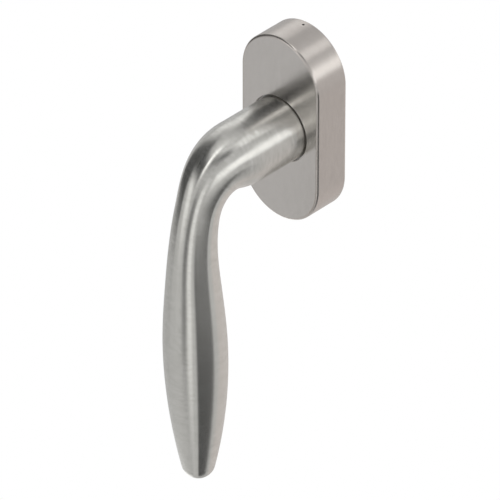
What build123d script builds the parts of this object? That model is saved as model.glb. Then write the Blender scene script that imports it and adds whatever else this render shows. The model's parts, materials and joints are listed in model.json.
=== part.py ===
from build123d import *

import math
import os

# Tilt turn handle for a window sash: a round-ended rosette with a gooseneck lever.
#
# The origin is the middle of the two screw holes, on the back face that sits on the sash.
# +Z points up, +Y into the sash and -Y into the room. "Depth" is the distance from the
# back face towards the room, so a depth of d lies at y = -d. All sizes are in millimetres.

# Screw pattern and spindle, which every window of this kind shares
SCREW_SPACING = 43.0
SCREW_HOLE_R = 2.65
SPINDLE_SIDE = 7.0
SPINDLE_REAR = 0.2
SPINDLE_LENGTH = 41.0
SPINDLE_CHAMFER = 0.6
SPINDLE_PLAY = 0.05

# Cover
COVER_HEIGHT = 70.0
COVER_WIDTH = 34.0
COVER_DEPTH = 13.5
COVER_WALL = 1.2
COVER_EDGE = 0.9
COVER_HOLE_R = 12.0
PRISE_HOLE_R = 0.45
PRISE_HOLE_DEPTH = 2.1

# Play between pieces that slide or turn on each other, and between pieces that only face
RUNNING_PLAY = 0.05
FACE_PLAY = 0.02
LOOSE_PLAY = 0.1

# Base plate, with the screw spigots on its back, and the detent housing on its front
PLATE_GAP = 0.4
PLATE_THICK = 3.0
RECESS_R = 9.2
RECESS_DEPTH = 1.8
CHAMBER_FLOOR = 4.3
HOUSING_X = 26.6
HOUSING_Z = 32.8
HOUSING_CORNER = 3.0
HOUSING_DEPTH = 8.1
BOSS_R = 4.9
BOSS_DEPTH = 4.0
SPIGOT_R = 3.6
SPIGOT_LENGTH = 5.0
SLEEVE_R = 4.95
SLEEVE_LENGTH = 7.0
SLEEVE_CHAMFER = 0.5
SLEEVE_FOOT_R = 5.6
SLEEVE_FOOT = 0.5

# Detent
JOURNAL_R = 6.0
JOURNAL_FLATS = 10.4
CAM_R = 8.5
CAM_DEPTH = 4.75
CAM_THICK = 2.55
NOTCH_COUNT = 4
NOTCH_TRAVEL = 0.8
BALL_R = 1.75
BALL_DEPTH = 6.1
BALL_CENTRE = CAM_R + BALL_R + 0.03
WASHER_R = 7.9
DISC_R = 8.0
DISC_THICK = 0.3
CHANNEL_HALF = 1.8
CHANNEL_END = 15.4
SPRING_WIRE_R = 0.175
SPRING_COIL_R = 1.35
SPRING_TURNS = 4

# Housing lid, the screws that hold it and the housing on the base plate, and the two bushes
LID_THICK = 1.4
LID_HOLE_R = 9.4
LID_SCREW_X = 10.5
LID_SCREW_Z = 13.2
LID_SCREW_R = 1.0
LID_SCREW_LENGTH = 7.0
LID_SCREW_HEAD_R = 1.9
LID_SCREW_HEAD = 1.1
LID_SCREW_SOCKET = 1.3
BUSH_R = 7.4
BUSH_FLANGE_R = 10.9
BUSH_FLANGE = 1.0

# Neck insert, which carries the lever, the cam and the square bore
SHOULDER_DEPTH = 7.9
INSERT_R = 8.0
INSERT_STEP = 34.0
INSERT_NOSE_R = 6.6
INSERT_END = 42.5
BORE_LENGTH = 41.4
JOURNAL_START = 0.4
CIRCLIP_R = 8.2
GROOVE_R = 5.5
GROOVE_START = 0.96
GROOVE_END = 1.78

# Lever: a straight neck, then an elbow and a grip whose centre lines are Bezier curves in
# the plane x = 0, as (y, z). LEVER_KNOTS gives the section's mean radius and its slope at
# fractions of the length of the two curves: neck, waist, belly and tip. The section is a
# little wider than it is deep in mid-grip.
NECK_R = 11.5
NECK_REAR = 10.6
ELBOW_CURVE = ((-31.5, 0), (-37.05, 0), (-56.35, 7.1), (-55.1, -38.0))
GRIP_CURVE = ((-55.1, -38.0), (-54.35, -65.2), (-53.0, -92.5), (-53.0, -119.75))
LEVER_KNOTS = ((0.0, 11.5, 0.0), (0.21, 7.55, 0.0), (0.618, 10.8, 0.0), (1.0, 4.65, -32.0))
LEVER_SECTIONS = 27
GRIP_WIDER = 0.06
TIP_ROUND = 4.4

# Guide ring, cover clips and the leaf that holds the spindle
GUIDE_R = 13.4
GUIDE_THICK = 1.4
CLIP_THICK = 0.4
CLIP_HEIGHT = 10.0
CLIP_FOOT = (13.54, 3.3)
CLIP_CREST = (15.5, 6.0)
CLIP_TOP = (13.54, 8.7)
LEAF_THICK = 0.3
LEAF_WIDTH = 3.0
LEAF_ENDS = (10.6, 25.4)
LEAF_END_X = 4.05
LEAF_CREST_X = 3.69
LEAF_GROOVE = (10.2, 25.8)
LEAF_GROOVE_X = 4.3


def outline(height, width):
    """A round-ended outline, upright on the current sketch plane."""
    SlotOverall(height, width, rotation=90)


def ring(inner, outer, start, end):
    """A flat ring about the handle's axis, between two depths."""
    with BuildPart() as piece:
        with BuildSketch(Plane.XZ.offset(start)):
            Circle(outer)
            Circle(inner, mode=Mode.SUBTRACT)
        extrude(amount=end - start)
    return piece


def lever_radius(fraction):
    """Mean radius of the lever's section: a cubic between each two knots."""
    for (start, r0, slope0), (end, r1, slope1) in zip(LEVER_KNOTS, LEVER_KNOTS[1:]):
        if fraction <= end:
            span = end - start
            t = (fraction - start) / span
            value = (2 * t**3 - 3 * t**2 + 1) * r0 + (3 * t**2 - 2 * t**3) * r1
            return value + (t**3 - 2 * t**2 + t) * span * slope0 + (t**3 - t**2) * span * slope1


pieces = []

# Cover: a drawn shell, open at the back
with BuildPart() as cover:
    with BuildSketch(Plane.XZ):
        outline(COVER_HEIGHT, COVER_WIDTH)
    extrude(amount=COVER_DEPTH)
    fillet(cover.faces().sort_by(Axis.Y)[0].edges(), COVER_EDGE)
    with BuildSketch(Plane.XZ):
        outline(COVER_HEIGHT - 2 * COVER_WALL, COVER_WIDTH - 2 * COVER_WALL)
    extrude(amount=COVER_DEPTH - COVER_WALL, mode=Mode.SUBTRACT)
    with BuildSketch(Plane.XZ.offset(COVER_DEPTH)):
        Circle(COVER_HOLE_R)
    extrude(amount=-COVER_WALL, mode=Mode.SUBTRACT)
    with BuildSketch(Plane.XY.offset(COVER_HEIGHT / 2)):
        with Locations((0, -PRISE_HOLE_DEPTH)):
            Circle(PRISE_HOLE_R)
    extrude(amount=-2 * COVER_WALL, mode=Mode.SUBTRACT)
cover.part.label = "cover"
pieces.append(cover)

# Ring behind the cover's front wall, in which the neck turns
guide_front = COVER_DEPTH - COVER_WALL
guide_ring = ring(NECK_R + RUNNING_PLAY, GUIDE_R, guide_front - GUIDE_THICK, guide_front)
guide_ring.part.label = "guide_ring"
pieces.append(guide_ring)

# Base plate: a cast plate with a boss and a spigot at each screw hole
screw_places = [(0, SCREW_SPACING / 2), (0, -SCREW_SPACING / 2)]
lid_screw_places = GridLocations(2 * LID_SCREW_X, 2 * LID_SCREW_Z, 2, 2)
with BuildPart() as base_plate:
    with BuildSketch(Plane.XZ):
        outline(
            COVER_HEIGHT - 2 * (COVER_WALL + PLATE_GAP),
            COVER_WIDTH - 2 * (COVER_WALL + PLATE_GAP),
        )
    extrude(amount=PLATE_THICK)
    with BuildSketch(Plane.XZ.offset(PLATE_THICK)):
        with Locations(screw_places):
            Circle(BOSS_R)
    extrude(amount=BOSS_DEPTH - PLATE_THICK)
    with BuildSketch(Plane.XZ):
        with Locations(screw_places):
            Circle(SPIGOT_R)
    extrude(amount=-SPIGOT_LENGTH)
    with BuildSketch(Plane.XZ.offset(-SPIGOT_LENGTH)):
        with Locations(screw_places):
            Circle(SCREW_HOLE_R)
    extrude(amount=SPIGOT_LENGTH + BOSS_DEPTH, mode=Mode.SUBTRACT)
    with BuildSketch(Plane.XZ):
        with Locations(screw_places):
            Circle(SLEEVE_FOOT_R + LOOSE_PLAY)
            Circle(SPIGOT_R, mode=Mode.SUBTRACT)
    extrude(amount=SLEEVE_FOOT, mode=Mode.SUBTRACT)
    with BuildSketch(Plane.XZ):
        Circle(RECESS_R)
    extrude(amount=RECESS_DEPTH, mode=Mode.SUBTRACT)
    with BuildSketch(Plane.XZ.offset(RECESS_DEPTH)):
        Circle(BUSH_R)
    extrude(amount=PLATE_THICK - RECESS_DEPTH, mode=Mode.SUBTRACT)
    with BuildSketch(Plane.XZ.offset(PLATE_THICK)):
        with lid_screw_places:
            Circle(LID_SCREW_R)
    extrude(amount=HOUSING_DEPTH - LID_SCREW_LENGTH - PLATE_THICK, mode=Mode.SUBTRACT)
base_plate.part.label = "base_plate"
pieces.append(base_plate)

# Detent housing: a block with a round chamber for the cam and a channel for each ball
with BuildPart() as detent_housing:
    with BuildSketch(Plane.XZ.offset(PLATE_THICK)):
        RectangleRounded(HOUSING_X, HOUSING_Z, HOUSING_CORNER)
        Circle(BUSH_R, mode=Mode.SUBTRACT)
        with lid_screw_places:
            Circle(LID_SCREW_R, mode=Mode.SUBTRACT)
    extrude(amount=HOUSING_DEPTH - PLATE_THICK)
    with BuildSketch(Plane.XZ.offset(CHAMBER_FLOOR)):
        Circle(RECESS_R)
        Rectangle(2 * CHANNEL_HALF, 2 * CHANNEL_END)
    extrude(amount=HOUSING_DEPTH - CHAMBER_FLOOR, mode=Mode.SUBTRACT)
detent_housing.part.label = "detent_housing"
pieces.append(detent_housing)

# Plastic sleeves on the spigots, which drop into the two 10 mm holes in the sash. The foot
# of each sleeve is sunk in the base plate.
for name, place in zip(("upper", "lower"), screw_places):
    with BuildPart() as locating_sleeve:
        with BuildSketch(Plane.XZ):
            with Locations(place):
                Circle(SLEEVE_R)
                Circle(SPIGOT_R, mode=Mode.SUBTRACT)
        extrude(amount=-SLEEVE_LENGTH)
        outer_edge = locating_sleeve.faces().sort_by(Axis.Y)[-1].edges().sort_by(SortBy.RADIUS)[-1]
        chamfer(outer_edge, SLEEVE_CHAMFER)
        with BuildSketch(Plane.XZ):
            with Locations(place):
                Circle(SLEEVE_FOOT_R)
                Circle(SPIGOT_R, mode=Mode.SUBTRACT)
        extrude(amount=SLEEVE_FOOT)
    locating_sleeve.part.label = f"locating_sleeve_{name}"
    pieces.append(locating_sleeve)

# Lid that closes the detent housing, and the four screws that run through both
with BuildPart() as housing_lid:
    with BuildSketch(Plane.XZ.offset(HOUSING_DEPTH)):
        RectangleRounded(HOUSING_X, HOUSING_Z, HOUSING_CORNER)
        Circle(LID_HOLE_R, mode=Mode.SUBTRACT)
        with lid_screw_places:
            Circle(LID_SCREW_R, mode=Mode.SUBTRACT)
    extrude(amount=LID_THICK)
housing_lid.part.label = "housing_lid"
pieces.append(housing_lid)

lid_front = HOUSING_DEPTH + LID_THICK
with BuildPart() as lid_screws:
    with BuildSketch(Plane.XZ.offset(HOUSING_DEPTH - LID_SCREW_LENGTH)):
        with lid_screw_places:
            Circle(LID_SCREW_R)
    extrude(amount=LID_SCREW_LENGTH + LID_THICK)
    with BuildSketch(Plane.XZ.offset(lid_front)):
        with lid_screw_places:
            Circle(LID_SCREW_HEAD_R)
    extrude(amount=LID_SCREW_HEAD)
    with BuildSketch(Plane.XZ.offset(lid_front + LID_SCREW_HEAD)):
        with lid_screw_places:
            RegularPolygon(LID_SCREW_SOCKET / 2, 6, major_radius=False)
    extrude(amount=-LID_SCREW_HEAD / 2, mode=Mode.SUBTRACT)
lid_screws.part.label = "lid_screws"
pieces.append(lid_screws)

# Bushes at the two ends of the turning part
with BuildPart() as neck_bush:
    with BuildSketch(Plane.XZ.offset(HOUSING_DEPTH)):
        Circle(LID_HOLE_R)
    extrude(amount=LID_THICK)
    with BuildSketch(Plane.XZ.offset(lid_front)):
        Circle(BUSH_FLANGE_R)
    extrude(amount=BUSH_FLANGE)
    with BuildSketch(Plane.XZ.offset(HOUSING_DEPTH)):
        Circle(INSERT_R + RUNNING_PLAY)
    extrude(amount=LID_THICK + BUSH_FLANGE, mode=Mode.SUBTRACT)
neck_bush.part.label = "neck_bush"
pieces.append(neck_bush)

rear_bush = ring(JOURNAL_R + RUNNING_PLAY, BUSH_R, RECESS_DEPTH, CHAMBER_FLOOR)
rear_bush.part.label = "rear_bush"
pieces.append(rear_bush)

thrust_washer = ring(JOURNAL_R + LOOSE_PLAY, WASHER_R, CHAMBER_FLOOR, CAM_DEPTH - RUNNING_PLAY)
thrust_washer.part.label = "thrust_washer"
pieces.append(thrust_washer)

# Cam: a ring on the journal's two flats, with a notch for each quarter turn
with BuildPart() as detent_cam:
    with BuildSketch(Plane.XZ.offset(CAM_DEPTH)):
        Circle(CAM_R)
        with PolarLocations(BALL_CENTRE - NOTCH_TRAVEL, NOTCH_COUNT):
            Circle(BALL_R + LOOSE_PLAY, mode=Mode.SUBTRACT)
        with BuildSketch(mode=Mode.PRIVATE) as keyed_hole:
            Circle(JOURNAL_R)
            Rectangle(JOURNAL_FLATS, 2 * JOURNAL_R, mode=Mode.INTERSECT)
        add(keyed_hole.sketch, mode=Mode.SUBTRACT)
    extrude(amount=CAM_THICK)
detent_cam.part.label = "detent_cam"
pieces.append(detent_cam)

# Conical spring washer that takes up the end play between the cam and the shoulder
cone_front = SHOULDER_DEPTH - FACE_PLAY
cone_rear = CAM_DEPTH + CAM_THICK + FACE_PLAY
with BuildPart() as disc_spring:
    with BuildSketch(Plane.XY):
        with BuildLine():
            Polyline(
                (JOURNAL_R + LOOSE_PLAY, -cone_front),
                (JOURNAL_R + LOOSE_PLAY, -cone_front + DISC_THICK),
                (DISC_R, -cone_rear),
                (DISC_R, -cone_rear - DISC_THICK),
                close=True,
            )
        make_face()
    revolve(axis=Axis.Y)
disc_spring.part.label = "disc_spring"
pieces.append(disc_spring)

# Balls and springs, above and below the cam. The balls are drawn on the cam's crest.
spring_start = BALL_CENTRE + BALL_R + SPRING_WIRE_R + FACE_PLAY
spring_end = CHANNEL_END - SPRING_WIRE_R - FACE_PLAY
for name, side in (("upper", 1), ("lower", -1)):
    with BuildPart() as detent_ball:
        with Locations((0, -BALL_DEPTH, side * BALL_CENTRE)):
            Sphere(BALL_R)
    detent_ball.part.label = f"detent_ball_{name}"
    pieces.append(detent_ball)
    with BuildPart() as detent_spring:
        with BuildLine() as coil:
            Helix(
                (spring_end - spring_start) / SPRING_TURNS,
                spring_end - spring_start,
                SPRING_COIL_R,
                center=(0, -BALL_DEPTH, side * spring_start),
                direction=(0, 0, side),
            )
        with BuildSketch(Plane(origin=coil.line @ 0, z_dir=coil.line % 0)):
            Circle(SPRING_WIRE_R)
        sweep(path=coil.line, is_frenet=True)
    detent_spring.part.label = f"detent_spring_{name}"
    pieces.append(detent_spring)

# Bowed leaves on both sides of the housing, which hold the cover by friction
for name, side in (("right", 1), ("left", -1)):
    with BuildPart() as cover_clip:
        with BuildSketch(Plane.XY.offset(-CLIP_HEIGHT / 2)):
            with BuildLine():
                ThreePointArc(*((side * x, -depth) for x, depth in (CLIP_FOOT, CLIP_CREST, CLIP_TOP)))
            trace(line_width=CLIP_THICK)
        extrude(amount=CLIP_HEIGHT)
    cover_clip.part.label = f"cover_clip_{name}"
    pieces.append(cover_clip)

# Neck insert: the journal, the shoulder, the socket part in the lever and the square bore
with BuildPart() as neck_insert:
    with BuildSketch(Plane.XY):
        with BuildLine():
            Polyline(
                (0, -JOURNAL_START),
                (JOURNAL_R, -JOURNAL_START),
                (JOURNAL_R, -GROOVE_START),
                (GROOVE_R, -GROOVE_START),
                (GROOVE_R, -GROOVE_END),
                (JOURNAL_R, -GROOVE_END),
                (JOURNAL_R, -SHOULDER_DEPTH),
                (INSERT_R, -SHOULDER_DEPTH),
                (INSERT_R, -INSERT_STEP),
                (INSERT_NOSE_R, -INSERT_STEP),
                (INSERT_NOSE_R, -INSERT_END),
                (0, -INSERT_END),
                close=True,
            )
        make_face()
    revolve(axis=Axis.Y)
    with BuildSketch(Plane.XZ.offset(CAM_DEPTH)):
        Circle(JOURNAL_R)
        Rectangle(JOURNAL_FLATS, 2 * JOURNAL_R, mode=Mode.SUBTRACT)
    extrude(amount=SHOULDER_DEPTH - CAM_DEPTH, mode=Mode.SUBTRACT)
    with BuildSketch(Plane.XZ):
        Rectangle(SPINDLE_SIDE + 2 * SPINDLE_PLAY, SPINDLE_SIDE + 2 * SPINDLE_PLAY)
    extrude(amount=BORE_LENGTH, mode=Mode.SUBTRACT)
    with BuildSketch(Plane.XY.offset(-LEAF_WIDTH / 2 - LOOSE_PLAY)):
        with Locations((LEAF_GROOVE_X / 2, -sum(LEAF_GROOVE) / 2)):
            Rectangle(LEAF_GROOVE_X, LEAF_GROOVE[1] - LEAF_GROOVE[0])
    extrude(amount=LEAF_WIDTH + 2 * LOOSE_PLAY, mode=Mode.SUBTRACT)
neck_insert.part.label = "neck_insert"
pieces.append(neck_insert)

# Retaining ring in the journal's groove, open towards one side
with BuildPart() as retaining_ring:
    with BuildSketch(Plane.XZ.offset(GROOVE_START + FACE_PLAY)):
        Circle(CIRCLIP_R)
        Circle(GROOVE_R, mode=Mode.SUBTRACT)
        with Locations((0, -RECESS_R)):
            Rectangle(JOURNAL_R, 2 * RECESS_R - JOURNAL_R, mode=Mode.SUBTRACT)
    extrude(amount=GROOVE_END - GROOVE_START - 2 * FACE_PLAY)
retaining_ring.part.label = "retaining_ring"
pieces.append(retaining_ring)

# Square spindle, which pulls out of the neck as far as the sash needs
with BuildPart() as spindle:
    with BuildSketch(Plane.XZ.offset(SPINDLE_REAR)):
        Rectangle(SPINDLE_SIDE, SPINDLE_SIDE)
    extrude(amount=SPINDLE_LENGTH)
    chamfer(spindle.faces().sort_by(Axis.Y)[-1].edges(), SPINDLE_CHAMFER)
spindle.part.label = "spindle"
pieces.append(spindle)

# Bowed leaf that holds the spindle by friction
with BuildPart() as spindle_leaf:
    with BuildSketch(Plane.XY.offset(-LEAF_WIDTH / 2)):
        with BuildLine():
            ThreePointArc(
                (LEAF_END_X, -LEAF_ENDS[0]),
                (LEAF_CREST_X, -sum(LEAF_ENDS) / 2),
                (LEAF_END_X, -LEAF_ENDS[1]),
            )
        trace(line_width=LEAF_THICK)
    extrude(amount=LEAF_WIDTH)
spindle_leaf.part.label = "spindle_leaf"
pieces.append(spindle_leaf)

# Lever: the straight neck and a loft through the sections of the elbow and the grip
with BuildLine(Plane.YZ) as lever_line:
    Bezier(*ELBOW_CURVE)
    Bezier(*GRIP_CURVE)
centre_line = lever_line.wires()[0]
with BuildPart() as handle_lever:
    with BuildSketch(Plane.XZ.offset(NECK_REAR)):
        Circle(NECK_R)
    extrude(amount=-ELBOW_CURVE[0][0] - NECK_REAR)
    for index in range(LEVER_SECTIONS):
        fraction = index / (LEVER_SECTIONS - 1)
        wider = math.sqrt(1 + GRIP_WIDER * math.sin(math.pi * fraction))
        radius = lever_radius(fraction)
        with BuildSketch(Plane(centre_line @ fraction, x_dir=(1, 0, 0), z_dir=centre_line % fraction)):
            Ellipse(radius * wider, radius / wider)
    loft()
    fillet(handle_lever.faces().sort_by(Axis.Z)[0].edges(), TIP_ROUND)
    with BuildSketch(Plane.XZ.offset(NECK_REAR)):
        Circle(INSERT_R)
    extrude(amount=INSERT_STEP - NECK_REAR, mode=Mode.SUBTRACT)
    with BuildSketch(Plane.XZ.offset(INSERT_STEP)):
        Circle(INSERT_NOSE_R)
    extrude(amount=INSERT_END - INSERT_STEP, mode=Mode.SUBTRACT)
handle_lever.part.label = "handle_lever"
pieces.append(handle_lever)

os.makedirs("parts", exist_ok=True)
for piece in pieces:
    export_step(piece.part, f"parts/{piece.part.label}.step")
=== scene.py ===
import json
import math

import bmesh
import bpy
import numpy as np
from mathutils import Matrix, Vector

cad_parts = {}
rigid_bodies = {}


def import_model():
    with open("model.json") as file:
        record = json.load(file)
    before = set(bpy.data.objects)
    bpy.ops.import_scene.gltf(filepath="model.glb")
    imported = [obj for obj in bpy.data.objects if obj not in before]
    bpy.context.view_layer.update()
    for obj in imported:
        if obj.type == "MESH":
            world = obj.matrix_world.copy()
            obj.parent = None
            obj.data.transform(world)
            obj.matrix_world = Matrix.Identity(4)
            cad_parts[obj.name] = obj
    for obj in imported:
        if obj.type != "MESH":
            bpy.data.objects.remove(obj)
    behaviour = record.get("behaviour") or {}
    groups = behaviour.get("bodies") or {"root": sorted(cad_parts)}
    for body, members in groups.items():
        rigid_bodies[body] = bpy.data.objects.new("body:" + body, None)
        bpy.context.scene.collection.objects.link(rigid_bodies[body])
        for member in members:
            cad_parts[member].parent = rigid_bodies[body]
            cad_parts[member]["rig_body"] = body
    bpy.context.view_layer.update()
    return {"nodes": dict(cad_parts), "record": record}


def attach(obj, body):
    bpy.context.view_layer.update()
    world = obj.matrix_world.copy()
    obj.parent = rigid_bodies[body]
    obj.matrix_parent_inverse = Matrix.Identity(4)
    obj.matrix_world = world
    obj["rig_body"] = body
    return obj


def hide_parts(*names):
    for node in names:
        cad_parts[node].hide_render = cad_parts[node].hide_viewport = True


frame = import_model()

MM = 0.001

# ---------------------------------------------------------------- camera
# The camera looks down at the handle from its right, through a long lens.
VIEW_AZIMUTH = math.radians(42.9)
VIEW_ELEVATION = math.radians(34.5)
VIEW_DISTANCE = 2.447
VIEW_LENS = 535.0
VIEW_AIM = Vector((2.9, -30.8, -38.4)) * MM


def add_camera():
    """The camera, at the azimuth, elevation and distance above, aimed at the handle's middle."""
    flat = math.cos(VIEW_ELEVATION)
    x, y = math.sin(VIEW_AZIMUTH) * flat, -math.cos(VIEW_AZIMUTH) * flat
    back = Vector((x, y, math.sin(VIEW_ELEVATION)))
    data = bpy.data.cameras.new("camera")
    data.lens = VIEW_LENS
    data.clip_start, data.clip_end = 0.05, 50.0
    camera = bpy.data.objects.new("camera", data)
    turn = (-back).to_track_quat("-Z", "Y").to_matrix().to_4x4()
    place = Matrix.Translation(VIEW_AIM + back * VIEW_DISTANCE)
    camera.matrix_world = place @ turn
    bpy.context.scene.collection.objects.link(camera)
    bpy.context.scene.camera = camera


# ---------------------------------------------------------------- nodes
class Graph:
    """A node tree, with short ways to add and link nodes."""

    def __init__(self, tree):
        self.tree = tree
        tree.nodes.clear()

    def add(self, kind, inputs=None, **settings):
        """A new node. inputs gives values or linked sockets, by input name or number."""
        node = self.tree.nodes.new(kind)
        for key, value in settings.items():
            setattr(node, key, value)
        for key, value in (inputs or {}).items():
            self.put(node.inputs[key], value)
        return node

    def put(self, socket, value):
        """Links a socket to an input, or sets the input to a plain value."""
        if isinstance(value, bpy.types.NodeSocket):
            self.tree.links.new(value, socket)
        else:
            socket.default_value = value

    def math(self, operation, *values, clamp=False):
        """The output of a Math node."""
        node = self.add("ShaderNodeMath", operation=operation, use_clamp=clamp)
        for socket, value in zip(node.inputs, values):
            self.put(socket, value)
        return node.outputs[0]

    def ramp(self, value, low, high, out_low=0.0, out_high=1.0, smooth=False):
        """value mapped from low..high to out_low..out_high, and held at the ends."""
        node = self.add("ShaderNodeMapRange", interpolation_type="SMOOTHSTEP" if smooth else "LINEAR")
        for socket, number in zip(node.inputs, (value, low, high, out_low, out_high)):
            self.put(socket, number)
        return node.outputs[0]

    def mix(self, factor, first, second):
        """The colour between two colours."""
        node = self.add("ShaderNodeMix", data_type="RGBA")
        for index, value in ((0, factor), (6, first), (7, second)):
            self.put(node.inputs[index], value)
        return node.outputs[2]

    def scaled(self, vector, scale):
        """A vector, stretched along each axis."""
        node = self.add("ShaderNodeVectorMath", operation="MULTIPLY")
        self.put(node.inputs[0], vector)
        node.inputs[1].default_value = scale
        return node.outputs[0]

    def noise(self, vector, scale, detail=2.0, roughness=0.5):
        """Noise between 0 and 1, with its middle near 0.5."""
        inputs = {"Vector": vector, "Scale": scale, "Detail": detail, "Roughness": roughness}
        return self.add("ShaderNodeTexNoise", inputs).outputs[0]


    def sum_of(self, *terms):
        """The sum of products: each term is a value and the factor that it is scaled by."""
        scaled = [self.math("MULTIPLY", value, factor) for value, factor in terms]
        return self.math("ADD", *scaled)


def grey(level, tint=(1.0, 1.0, 1.0)):
    """A colour from a level of grey and a tint."""
    return (level * tint[0], level * tint[1], level * tint[2], 1.0)


# ---------------------------------------------------------------- studio
# The steel mirrors a pale room with lit panels and black flags. They are painted on the
# world by direction, in degrees: azimuth 0 is towards the room, which is -Y, and 90 is +X.
# Each has a middle (azimuth, elevation), a size, a tilt and a level, and is there for the
# reflection named beside it. Later ones cover earlier ones. The side wall is a little warm.
WARM = (1.06, 1.0, 0.975)
BACKGROUND = 1.0
AMBIENT = 0.58
SOFT_EDGE = 10
STUDIO = {
    "ceiling": ((0, 90), (360, 40), 0, 0.75),              # top of the neck
    "back_wall": ((-155, 55), (45, 25), 0, 0.5),           # top of the neck, near the elbow
    "window_behind": ((-130, 25), (40, 25), 0, 1.0),       # top of the rosette's wall
    "side_wall": ((175, -30), (90, 60), 0, 0.64, WARM),    # side of the rosette and of the grip
    "key": ((-5, 60), (15, 50), 0, 1.8),                   # bright ridge of the elbow
    "key_top": ((-5, 75), (60, 14), 0, 1.6),               # the same ridge along the neck
    "window_right": ((110, 15), (110, 20), 0, 1.3),        # bright upper right of the rosette's wall
    "skylight": ((135, 55), (70, 20), -20, 1.05),          # side of the neck
    "strip_left": ((-25, 5), (20, 40), 25, 1.1),           # left highlight of the grip
    "strip_right": ((25, -15), (15, 60), -20, 1.0),        # right highlight of the grip
    "low_lamp": ((-105, -55), (55, 20), -20, 1.5),         # left edge of the grip
    "flag_right": ((75, -50), (65, 65), 0, 0.08),          # dark band of the grip
    "flag_high": ((65, 60), (75, 15), 0, 0.05),            # dark line on the neck
    "flag_top": ((20, 60), (15, 25), 0, 0.1),              # right of the elbow's ridge
    "flag_left": ((-75, 20), (50, 80), 0, 0.08),           # dark left side of the elbow
    "flag_over": ((-30, 40), (45, 35), 0, 0.0),            # shade beside the neck
    "flag_front": ((5, -15), (15, 40), -25, 0.15),         # between the two highlights
}
FLOOR_Z = -0.45
FLOOR_HALF = 12.0


def paint_panel(graph, direction, colour, panel):
    """Adds one soft rectangle over the world's colour."""
    (azimuth, elevation), (width, height), tilt, level, *tint = panel
    turn, lean = math.radians(azimuth), math.radians(tilt)
    x, y, z = direction
    side = graph.sum_of((x, math.cos(turn)), (y, math.sin(turn)))
    ahead = graph.sum_of((x, math.sin(turn)), (y, -math.cos(turn)))
    around = graph.math("DEGREES", graph.math("ARCTAN2", side, ahead))
    above = graph.math("SUBTRACT", graph.math("DEGREES", graph.math("ARCSINE", z)), elevation)
    if tilt:
        across = graph.sum_of((around, math.cos(lean)), (above, math.sin(lean)))
        above = graph.sum_of((above, math.cos(lean)), (around, -math.sin(lean)))
        around = across
    inside = 1.0
    for offset, size in ((around, width), (above, height)):
        distance = graph.math("ABSOLUTE", offset)
        start, end = (size - SOFT_EDGE) / 2, (size + SOFT_EDGE) / 2
        mask = graph.ramp(distance, start, end, 1.0, 0.0, smooth=True)
        inside = graph.math("MULTIPLY", mask, inside)
    return graph.mix(inside, colour, grey(level, *tint))


def add_studio():
    """The world, and a pale floor far below, which the steel doesn't mirror."""
    world = bpy.data.worlds.new("studio")
    world.use_nodes = True
    bpy.context.scene.world = world
    graph = Graph(world.node_tree)
    coordinates = graph.add("ShaderNodeTexCoord")
    parts = graph.add("ShaderNodeSeparateXYZ", {0: coordinates.outputs["Generated"]})
    colour = grey(AMBIENT)
    for panel in STUDIO.values():
        colour = paint_panel(graph, parts.outputs, colour, panel)
    seen = graph.add("ShaderNodeLightPath").outputs["Is Camera Ray"]
    colour = graph.mix(seen, colour, grey(BACKGROUND))
    background = graph.add("ShaderNodeBackground", {"Color": colour, "Strength": 1.0})
    graph.add("ShaderNodeOutputWorld", {"Surface": background.outputs[0]})
    bpy.context.scene.view_settings.view_transform = "Standard"

    plane = bmesh.new()
    bmesh.ops.create_grid(plane, x_segments=8, y_segments=8, size=FLOOR_HALF)
    mesh = bpy.data.meshes.new("floor")
    plane.to_mesh(mesh)
    plane.free()
    floor = bpy.data.objects.new("floor", mesh)
    floor.location.z = FLOOR_Z
    floor.visible_glossy = False
    bpy.context.scene.collection.objects.link(floor)
    material = bpy.data.materials.new("floor_paper")
    material.use_nodes = True
    graph = Graph(material.node_tree)
    paper = graph.add("ShaderNodeEmission", {"Color": grey(BACKGROUND)})
    graph.add("ShaderNodeOutputMaterial", {"Surface": paper.outputs[0]})
    mesh.materials.append(material)


# ---------------------------------------------------------------- materials
# Brushing is made of noise that is stretched along the lines: fine lines, coarser lines and
# bands. Each gives its cycles per millimetre, first across the lines and then along them.
# The cloud is an even mottling, in cycles per metre, and the depth is in metres.
FINE_LINES = (3.2, 0.6, 0.6)
LINES = (1.4, 0.25, 0.25)
BANDS = (0.30, 0.03, 0.03)
CLOUD = 110.0
BRUSH_DEPTH = 3e-6
# Scratches that stand proud scatter light widely, as a rough coat over the steel.
HAZE_ROUGHNESS = 0.6
HAZE_IOR = 2.4


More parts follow.
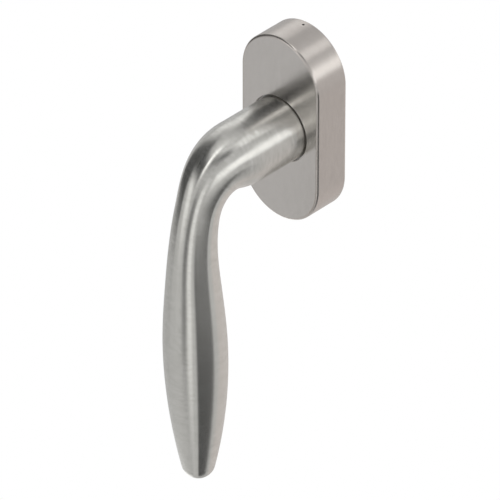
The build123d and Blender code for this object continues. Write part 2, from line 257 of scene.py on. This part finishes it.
def brushed_steel(name, colour, streaks, tangent_map, roughness, anisotropy, contrast, haze):
    """Satin steel. streaks(graph) gives a vector in millimetres, whose x runs across the
    lines. contrast says how much the lines stand out, and haze how much they scatter."""
    material = bpy.data.materials.new(name)
    material.use_nodes = True
    graph = Graph(material.node_tree)
    across = streaks(graph)
    place = graph.add("ShaderNodeTexCoord").outputs["Object"]
    fine = graph.noise(graph.scaled(across, FINE_LINES), 1.0, 1.0, 0.6)
    lines = graph.noise(graph.scaled(across, LINES), 1.0, 2.0, 0.6)
    bands = graph.noise(graph.scaled(across, BANDS), 1.0, 2.0)
    cloud = graph.noise(place, CLOUD, 3.0)
    worn = graph.ramp(graph.add("ShaderNodeNewGeometry").outputs["Pointiness"], 0.52, 0.60)
    streak = graph.sum_of((fine, 0.45), (lines, 0.55))
    broad = graph.sum_of((bands, 0.5), (cloud, 0.5))
    shade = graph.sum_of((streak, 0.9), (broad, 0.1))
    dark, pale = grey(1 - contrast, colour), grey(1 + contrast, colour)
    steel = graph.mix(graph.ramp(shade, 0.36, 0.64), dark, pale)
    steel = graph.mix(graph.math("MULTIPLY", worn, 0.5), steel, grey(1.12, colour))
    swing = 2 * roughness * contrast
    rough = graph.ramp(shade, 0.3, 0.7, roughness + swing, roughness - swing)
    rough = graph.math("SUBTRACT", rough, graph.math("MULTIPLY", worn, 0.05))
    bump = graph.add("ShaderNodeBump", {
        "Strength": 6 * contrast, "Distance": BRUSH_DEPTH, "Height": streak,
    })
    tangent = graph.add("ShaderNodeTangent", direction_type="UV_MAP", uv_map=tangent_map)
    shader = graph.add("ShaderNodeBsdfPrincipled", {
        "Base Color": steel, "Metallic": 1.0, "Roughness": rough, "Anisotropic": anisotropy,
        "Normal": bump.outputs[0], "Tangent": tangent.outputs[0],
        "Coat Weight": graph.ramp(streak, 0.42, 0.60, 0.0, haze),
        "Coat Roughness": HAZE_ROUGHNESS, "Coat IOR": HAZE_IOR,
    })
    graph.add("ShaderNodeOutputMaterial", {"Surface": shader.outputs[0]})
    return material


def finish(name, colour, place, metallic, roughness, grain, depth, variation=0.06, wear=0.12):
    """A turned, cast, plated or moulded surface. place(graph) gives a vector in millimetres,
    grain is the number of grains per millimetre, and depth is their height in metres."""
    material = bpy.data.materials.new(name)
    material.use_nodes = True
    graph = Graph(material.node_tree)
    vector = place(graph)
    fine = graph.noise(vector, grain, 3.0, 0.6)
    cloud = graph.noise(vector, grain * 0.08, 3.0)
    worn = graph.ramp(graph.add("ShaderNodeNewGeometry").outputs["Pointiness"], 0.52, 0.62)
    shade = graph.sum_of((fine, 0.5), (cloud, 0.5))
    tone = graph.ramp(shade, 0.3, 0.7)
    body = graph.mix(tone, grey(1 - variation, colour), grey(1 + variation, colour))
    body = graph.mix(graph.math("MULTIPLY", worn, 0.6), body, grey(1 + wear, colour))
    rough = graph.ramp(shade, 0.3, 0.7, roughness * 0.85, roughness * 1.15)
    rough = graph.math("SUBTRACT", rough, graph.math("MULTIPLY", worn, roughness * 0.2))
    bump = graph.add("ShaderNodeBump", {"Strength": 0.5, "Distance": depth, "Height": fine})
    shader = graph.add("ShaderNodeBsdfPrincipled", {
        "Base Color": body, "Metallic": metallic, "Roughness": rough, "Normal": bump.outputs[0],
    })
    graph.add("ShaderNodeOutputMaterial", {"Surface": shader.outputs[0]})
    return material


def plain_place(graph):
    """The place in the row frame, in millimetres."""
    place = graph.add("ShaderNodeTexCoord").outputs["Object"]
    return graph.scaled(place, (1 / MM, 1 / MM, 1 / MM))


def drawn_place(graph):
    """The place with the handle's axis shortened, so that grain becomes lines along it."""
    return graph.scaled(plain_place(graph), (1.0, 0.03, 1.0))


def turned_place(graph):
    """Distance from the handle's axis and distance along it, so that grain becomes rings."""
    parts = graph.add("ShaderNodeSeparateXYZ", {0: plain_place(graph)}).outputs
    square = graph.sum_of((parts[0], parts[0]), (parts[2], parts[2]))
    return graph.add("ShaderNodeCombineXYZ", {0: graph.math("SQRT", square), 1: parts[1]}).outputs[0]


def streaks_along(first, second, third):
    """Streaks laid out in the row frame, from the axes 0, 1 and 2 for x, y and z. The first
    axis runs across the lines."""
    def build(graph):
        parts = graph.add("ShaderNodeSeparateXYZ", {0: plain_place(graph)}).outputs
        inputs = {0: parts[first], 1: parts[second], 2: parts[third]}
        return graph.add("ShaderNodeCombineXYZ", inputs).outputs[0]
    return build


def streaks_from_sweep(graph):
    """Streaks around the lever: x is the distance along it, y and z the place around it."""
    sweep = graph.add("ShaderNodeUVMap", uv_map="sweep").outputs[0]
    circle = graph.add("ShaderNodeUVMap", uv_map="around").outputs[0]
    along = graph.add("ShaderNodeSeparateXYZ", {0: sweep}).outputs
    around = graph.add("ShaderNodeSeparateXYZ", {0: circle}).outputs
    inputs = {0: graph.math("MULTIPLY", along[0], 1 / MM)}
    for index in (0, 1):
        inputs[index + 1] = graph.math("MULTIPLY", around[index], BRUSHING_R)
    return graph.add("ShaderNodeCombineXYZ", inputs).outputs[0]


# ---------------------------------------------------------------- meshes
SHARP_ANGLE = math.radians(35.0)


def new_piece(name, points, faces, materials, uv_layers):
    """A smooth-shaded object from points and faces. uv_layers gives one pair per face corner."""
    mesh = bpy.data.meshes.new(name)
    mesh.from_pydata([tuple(point) for point in points], [], faces)
    for layer, values in uv_layers.items():
        corners = mesh.uv_layers.new(name=layer).data
        corners.foreach_set("uv", np.asarray(values, np.float32).ravel())
    for material in materials:
        mesh.materials.append(material)
    mesh.shade_smooth()
    mesh.set_sharp_from_angle(angle=SHARP_ANGLE)
    piece = bpy.data.objects.new(name, mesh)
    bpy.context.scene.collection.objects.link(piece)
    return piece


# Lever: the neck, the elbow and the grip are one sweep. The curves are Bezier curves in the
# plane x = 0, as (y, z). A knot is a fraction of their length, a mean radius and its slope.
# BORE gives the depth and radius of the two steps that hold the neck insert, and BRUSHING_R
# the radius that the brushing is laid out on. Where no unit is given, it is millimetres.
NECK_R = 11.5 * MM
NECK_REAR = -10.6 * MM
ELBOW_CURVE = ((-31.5, 0), (-37.05, 0), (-56.35, 7.1), (-55.1, -38.0))
GRIP_CURVE = ((-55.1, -38.0), (-54.35, -65.2), (-53.0, -92.5), (-53.0, -119.75))
LEVER_KNOTS = ((0.0, 11.5, 0.0), (0.21, 7.55, 0.0), (0.618, 10.8, 0.0), (1.0, 4.65, -32.0))
GRIP_WIDER = 0.06
TIP_ROUND = 4.4 * MM
LEVER_AROUND = 112
CURVE_STEPS = 400
NECK_RINGS = 16
SWEEP_RINGS = 210
TIP_RINGS = 14
BORE = ((42.5, 6.6), (34.0, 8.0))
BRUSHING_R = 10.0
LIP = 0.3 * MM
CLOSED_R = 0.02 * MM


def bezier(points, count):
    """Points along a cubic Bezier curve."""
    t = np.linspace(0.0, 1.0, count)[:, None]
    a, b, c, d = np.array(points, float)
    return (1 - t) ** 3 * a + 3 * (1 - t) ** 2 * t * b + 3 * (1 - t) * t**2 * c + t**3 * d


def lever_radius(fraction):
    """Mean radius of the lever's section: a cubic between each two knots."""
    for (start, r0, slope0), (end, r1, slope1) in zip(LEVER_KNOTS, LEVER_KNOTS[1:]):
        if fraction <= end:
            span = end - start
            t = (fraction - start) / span
            value = (2 * t**3 - 3 * t**2 + 1) * r0 + (3 * t**2 - 2 * t**3) * r1
            value += (t**3 - 2 * t**2 + t) * span * slope0 + (t**3 - t**2) * span * slope1
            return value * MM


def lever_rings():
    """The lever's rings, from the end of its bore round to the tip, as (y, z, angle, half
    width, half depth)."""
    (deep, narrow), (shallow, wide) = (tuple(value * MM for value in step) for step in BORE)
    rear = NECK_REAR
    profile = [(-deep, CLOSED_R), (-deep, narrow), (-shallow, narrow), (-shallow, wide)]
    profile += [(rear - LIP, wide), (rear, wide + LIP), (rear, NECK_R - LIP), (rear - LIP, NECK_R)]
    neck = np.linspace(rear - 2 * LIP, ELBOW_CURVE[0][0] * MM, NECK_RINGS)[:-1]
    profile += [(y, NECK_R) for y in neck]
    rings = [(y, 0.0, 0.0, radius, radius) for y, radius in profile]
    line = np.vstack([bezier(ELBOW_CURVE, CURVE_STEPS), bezier(GRIP_CURVE, CURVE_STEPS)[1:]]) * MM
    length = np.concatenate([[0.0], np.cumsum(np.linalg.norm(np.diff(line, axis=0), axis=1))])
    slope = np.gradient(line, length, axis=0)
    angle = np.arctan2(-slope[:, 1], -slope[:, 0])
    total = length[-1]
    stations = list(np.linspace(0.0, total - TIP_ROUND, SWEEP_RINGS))
    for i in range(1, TIP_RINGS + 1):
        stations.append(total - TIP_ROUND * (1 - math.sin(math.pi / 2 * i / TIP_RINGS)))
    for station in stations:
        fraction = min(station / total, 1.0)
        rounded = max(station - (total - TIP_ROUND), 0.0)
        radius = lever_radius(fraction) - TIP_ROUND + math.sqrt(max(TIP_ROUND**2 - rounded**2, 0.0))
        wider = math.sqrt(1 + GRIP_WIDER * math.sin(math.pi * fraction))
        y = float(np.interp(station, length, line[:, 0]))
        z = float(np.interp(station, length, line[:, 1]))
        turn = float(np.interp(station, length, angle))
        rings.append((y, z, turn, radius * wider, radius / wider))
    rings.append((line[-1, 0], line[-1, 1], float(angle[-1]), CLOSED_R, CLOSED_R))
    return rings


def lever(material):
    """The gooseneck lever: one sweep, with the stepped bore for the neck insert in its rear."""
    rings = lever_rings()
    around = np.linspace(0.0, 2 * math.pi, LEVER_AROUND, endpoint=False)
    points = []
    for y, z, turn, half_width, half_depth in rings:
        side = half_width * np.cos(around)
        out = half_depth * np.sin(around)
        ring = np.stack([side, y - math.sin(turn) * out, z + math.cos(turn) * out], axis=1)
        points.append(ring)
    grid = np.array(points)
    steps = np.linalg.norm(np.diff(grid, axis=0), axis=2).mean(axis=1)
    along = np.concatenate([[0.0], np.cumsum(steps)])
    count = LEVER_AROUND
    faces, sweep, circle = [], [], []
    for i in range(len(rings) - 1):
        for j in range(count):
            k = (j + 1) % count
            corners = ((i, j, j), (i, k, j + 1), (i + 1, k, j + 1), (i + 1, j, j))
            faces.append(tuple(ring * count + spoke for ring, spoke, _ in corners))
            sweep += [(along[ring], step * MM) for ring, _, step in corners]
            circle += [(math.cos(around[spoke]), math.sin(around[spoke])) for _, spoke, _ in corners]
    for i, order in ((0, -1), (len(rings) - 1, 1)):
        faces.append(tuple(i * count + j for j in range(count))[::order])
        sweep += [(along[i], j * MM) for j in range(count)][::order]
        circle += [(math.cos(a), math.sin(a)) for a in around][::order]
    layers = {"sweep": sweep, "around": circle}
    piece = new_piece("lever", grid.reshape(-1, 3), faces, [material], layers)
    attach(piece, "handle")
    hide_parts("handle_lever")


# Cover: a drawn shell. Its surface is one band of loops, from the back rim over the wall
# and the front to the hole, and back along the inside. A loop is a distance in from the
# outer outline, or a radius about the axis, and a depth.
COVER_HALF_HEIGHT = 35.0 * MM
COVER_HALF_WIDTH = 17.0 * MM
COVER_DEPTH = 13.5 * MM
COVER_WALL = 1.2 * MM
COVER_EDGE = 0.9 * MM
COVER_HOLE_R = 12.0 * MM
COVER_RIM = 0.15 * MM
PRISE_HOLE_R = 0.45 * MM
PRISE_HOLE_DEPTH = 2.1 * MM
ARC_STEPS = 96
SIDE_STEPS = 40
EDGE_STEPS = 7
RIM_STEPS = 3
WALL_LOOPS = tuple(depth * MM for depth in (0.9, 1.6, 2.6, 3.3, 7.0))
SAME_DEPTH = 1e-9


def stadium(inset):
    """The round-ended outline, clockwise from its bottom left corner, as (x, z)."""
    radius = COVER_HALF_WIDTH - inset
    straight = COVER_HALF_HEIGHT - COVER_HALF_WIDTH
    points = []
    for turn in (1, -1):
        for i in range(SIDE_STEPS):
            points.append((-turn * radius, turn * straight * (2 * i / SIDE_STEPS - 1)))
        for i in range(ARC_STEPS):
            angle = math.pi * i / ARC_STEPS
            x, z = -radius * math.cos(angle), straight + radius * math.sin(angle)
            points.append((turn * x, turn * z))
    return points


def circle_like_stadium(radius):
    """A circle about the axis, with one point for each point of the outline."""
    return [tuple(radius * value for value in Vector(point).normalized()) for point in stadium(0.0)]


def rounded(start, end, corner, steps):
    """Points of a quarter round from start to end, about the corner between them."""
    points = []
    for i in range(steps + 1):
        cosine, sine = math.cos(math.pi / 2 * i / steps), math.sin(math.pi / 2 * i / steps)
        rows = zip(start, end, corner)
        points.append(tuple(c + (a - c) * cosine + (b - c) * sine for a, b, c in rows))
    return points


def cover_loops():
    """The cover's loops, as (kind, distance, depth)."""
    front, inner = COVER_DEPTH, COVER_DEPTH - COVER_WALL
    rim, edge, wall = COVER_RIM, COVER_EDGE, COVER_WALL
    hole = COVER_HOLE_R
    outside = [(rim, 0.0)] + rounded((rim, 0.0), (0.0, rim), (rim, rim), RIM_STEPS)[1:]
    outside += [(0.0, depth) for depth in WALL_LOOPS]
    outside += rounded((0.0, front - edge), (edge, front), (edge, front - edge), EDGE_STEPS)
    bore = rounded((hole + rim, front), (hole, front - rim), (hole + rim, front - rim), RIM_STEPS)
    bore += rounded((hole, inner + rim), (hole + rim, inner), (hole + rim, inner + rim), RIM_STEPS)
    corner = (wall + edge, inner - edge)
    inside = rounded((wall + edge, inner), (wall, inner - edge), corner, EDGE_STEPS)
    inside += [(wall, depth) for depth in reversed(WALL_LOOPS)]
    inside += rounded((wall, rim), (wall - rim, 0.0), (wall - rim, rim), RIM_STEPS)
    kinds = (("outline", outside), ("circle", bore), ("outline", inside))
    return [(kind, *row) for kind, rows in kinds for row in rows]


def cover(upright, around):
    """The cover, with the front brushed upright and the wall brushed around. The wall's steel is
    darker and warmer than the front's: painted shade with a painted warm reflection.
    """
    loops = cover_loops()
    grid = []
    for kind, distance, depth in loops:
        outline = stadium(distance) if kind == "outline" else circle_like_stadium(distance)
        grid.append([(x, -depth, z) for x, z in outline])
    count = len(grid[0])
    outer = np.array(stadium(0.0))
    steps = np.linalg.norm(np.roll(outer, -1, axis=0) - outer, axis=1)
    perimeter = np.concatenate([[0.0], np.cumsum(steps)])
    faces, materials, layer = [], [], []
    for i in range(len(loops)):
        following = (i + 1) % len(loops)
        flat = abs(loops[i][2] - loops[following][2]) < SAME_DEPTH
        for j in range(count):
            k = (j + 1) % count
            corners = ((i, j), (following, j), (following, k), (i, k))
            faces.append(tuple(a * count + b for a, b in corners))
            materials.append(0 if flat else 1)
            before, after = perimeter[j], perimeter[j + 1]
            for (a, b), along in zip(corners, (before, before, after, after)):
                x, y, z = grid[a][b]
                layer.append((x, z) if flat else (-y, along))
    points = np.array(grid).reshape(-1, 3)
    piece = new_piece("cover_shell", points, faces, [upright, around], {"brush": layer})
    piece.data.polygons.foreach_set("material_index", materials)
    drill(piece, Vector((0.0, -PRISE_HOLE_DEPTH, COVER_HALF_HEIGHT)), PRISE_HOLE_R)
    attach(piece, "cover")
    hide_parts("cover")


def drill(piece, place, radius):
    """Cuts an upright round hole through the wall at a place, and evens the normals after it."""
    shape = bmesh.new()
    bmesh.ops.create_cone(
        shape, cap_ends=True, segments=24, radius1=radius, radius2=radius,
        depth=4 * COVER_WALL, matrix=Matrix.Translation(place),
    )
    mesh = bpy.data.meshes.new("drill")
    shape.to_mesh(mesh)
    shape.free()
    tool = bpy.data.objects.new("drill", mesh)
    bpy.context.scene.collection.objects.link(tool)
    cut = piece.modifiers.new("drill", "BOOLEAN")
    cut.object, cut.operation, cut.solver = tool, "DIFFERENCE", "EXACT"
    apply_modifiers(piece)
    piece.data.set_sharp_from_angle(angle=SHARP_ANGLE)
    even_normals(piece)
    bpy.data.objects.remove(tool)
    bpy.data.meshes.remove(mesh)


def apply_modifiers(piece):
    """Replaces the piece's mesh with what its modifiers make of it."""
    bpy.context.view_layer.update()
    depsgraph = bpy.context.evaluated_depsgraph_get()
    evaluated = piece.evaluated_get(depsgraph)
    mesh = bpy.data.meshes.new_from_object(
        evaluated, preserve_all_data_layers=True, depsgraph=depsgraph,
    )
    old = piece.data
    name = old.name
    piece.modifiers.clear()
    piece.data = mesh
    bpy.data.meshes.remove(old)
    mesh.name = name


def even_normals(piece):
    """Shades flat faces flat up to their rounded edges."""
    even = piece.modifiers.new("normals", "WEIGHTED_NORMAL")
    even.keep_sharp = True
    apply_modifiers(piece)


# The remaining pieces keep the shape of their CAD nodes. Those listed here get their sharp edges
# broken by a small bevel, in millimetres.
EDGE_BREAKS = {
    "base_plate": 0.30, "detent_housing": 0.35, "housing_lid": 0.15, "lid_screws": 0.15,
    "locating_sleeve_upper": 0.20, "locating_sleeve_lower": 0.20, "neck_bush": 0.15, "rear_bush": 0.15,
    "thrust_washer": 0.05, "detent_cam": 0.12, "disc_spring": 0.04, "cover_clip_left": 0.08,
    "cover_clip_right": 0.08, "neck_insert": 0.20, "retaining_ring": 0.10, "spindle": 0.20,
    "spindle_leaf": 0.05, "guide_ring": 0.12,
}
FLAT_ANGLE = math.radians(0.5)
EDGE_ANGLE = math.radians(32.0)
BROKEN_SHARP_ANGLE = math.radians(50.0)
WELD = 1e-6


def broken_edges(node, width, material):
    """A copy of a CAD node with its edges bevelled, which replaces it."""
    source = frame["nodes"][node]
    shape = bmesh.new()
    shape.from_mesh(source.data)
    bmesh.ops.remove_doubles(shape, verts=shape.verts, dist=WELD)
    bmesh.ops.dissolve_limit(
        shape, angle_limit=FLAT_ANGLE, verts=shape.verts, edges=shape.edges,
    )
    shape.normal_update()
    whole = [edge for edge in shape.edges if edge.is_manifold]
    edges = [edge for edge in whole if edge.calc_face_angle() > EDGE_ANGLE]
    bmesh.ops.bevel(
        shape, geom=edges, offset=width * MM, offset_type="OFFSET", segments=2, profile=0.5,
        affect="EDGES", clamp_overlap=True,
    )
    mesh = bpy.data.meshes.new(node + "_finished")
    shape.to_mesh(mesh)
    shape.free()
    mesh.materials.append(material)
    mesh.shade_smooth()
    mesh.set_sharp_from_angle(angle=BROKEN_SHARP_ANGLE)
    piece = bpy.data.objects.new(node + "_finished", mesh)
    bpy.context.scene.collection.objects.link(piece)
    even_normals(piece)
    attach(piece, source["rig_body"])
    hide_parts(node)


# ---------------------------------------------------------------- the scene
SLOTS = {part["node"]: part["material_slot"] for part in frame["record"]["subparts"]}
FINISHES = {
    "turned_steel": finish(
        "steel_turned", (0.60, 0.59, 0.58), turned_place, metallic=1.0, roughness=0.30,
        grain=5.0, depth=4e-6,
    ),
    "plated_steel": finish(
        "steel_plated", (0.66, 0.67, 0.70), drawn_place, metallic=1.0, roughness=0.32,
        grain=4.0, depth=5e-6, variation=0.09,
    ),
    "spring_steel": finish(
        "steel_blued", (0.24, 0.25, 0.29), plain_place, metallic=1.0, roughness=0.34,
        grain=3.0, depth=4e-6, variation=0.12, wear=0.5,
    ),
    "ball_steel": finish(
        "steel_polished", (0.74, 0.74, 0.75), plain_place, metallic=1.0, roughness=0.08,
        grain=3.0, depth=5e-7, variation=0.03,
    ),
    "zinc_casting": finish(
        "zinc_cast", (0.47, 0.47, 0.475), plain_place, metallic=1.0, roughness=0.46,
        grain=1.8, depth=5e-5, variation=0.16, wear=0.25,
    ),
    "grey_plastic": finish(
        "plastic_grey", (0.16, 0.165, 0.17), plain_place, metallic=0.0, roughness=0.48,
        grain=3.5, depth=1.5e-5, variation=0.08, wear=0.3,
    ),
    "white_plastic": finish(
        "plastic_white", (0.74, 0.74, 0.70), plain_place, metallic=0.0, roughness=0.42,
        grain=3.5, depth=1e-5, variation=0.04,
    ),
}
add_camera()
add_studio()
lever(brushed_steel(
    "steel_brushed_across", (0.690, 0.680, 0.642), streaks_from_sweep, "sweep",
    roughness=0.21, anisotropy=0.93, contrast=0.09, haze=0.8,
))
front_steel = brushed_steel(
    "steel_brushed_upright", (0.682, 0.652, 0.622), streaks_along(0, 1, 2), "brush",
    roughness=0.19, anisotropy=0.84, contrast=0.035, haze=0.25,
)
# The wall is the same steel as the front, given a darker, warmer colour: painted shade with a painted
# warm reflection.
wall_steel_painted_shade = brushed_steel(
    "steel_brushed_around_painted_shade", (0.652, 0.608, 0.570), streaks_along(1, 0, 2), "brush",
    roughness=0.26, anisotropy=0.88, contrast=0.03, haze=0.25,
)
cover(front_steel, wall_steel_painted_shade)
for node, slot in SLOTS.items():
    if node in EDGE_BREAKS:
        broken_edges(node, EDGE_BREAKS[node], FINISHES[slot])
    elif slot in FINISHES:
        for material_slot in frame["nodes"][node].material_slots:
            material_slot.material = FINISHES[slot]
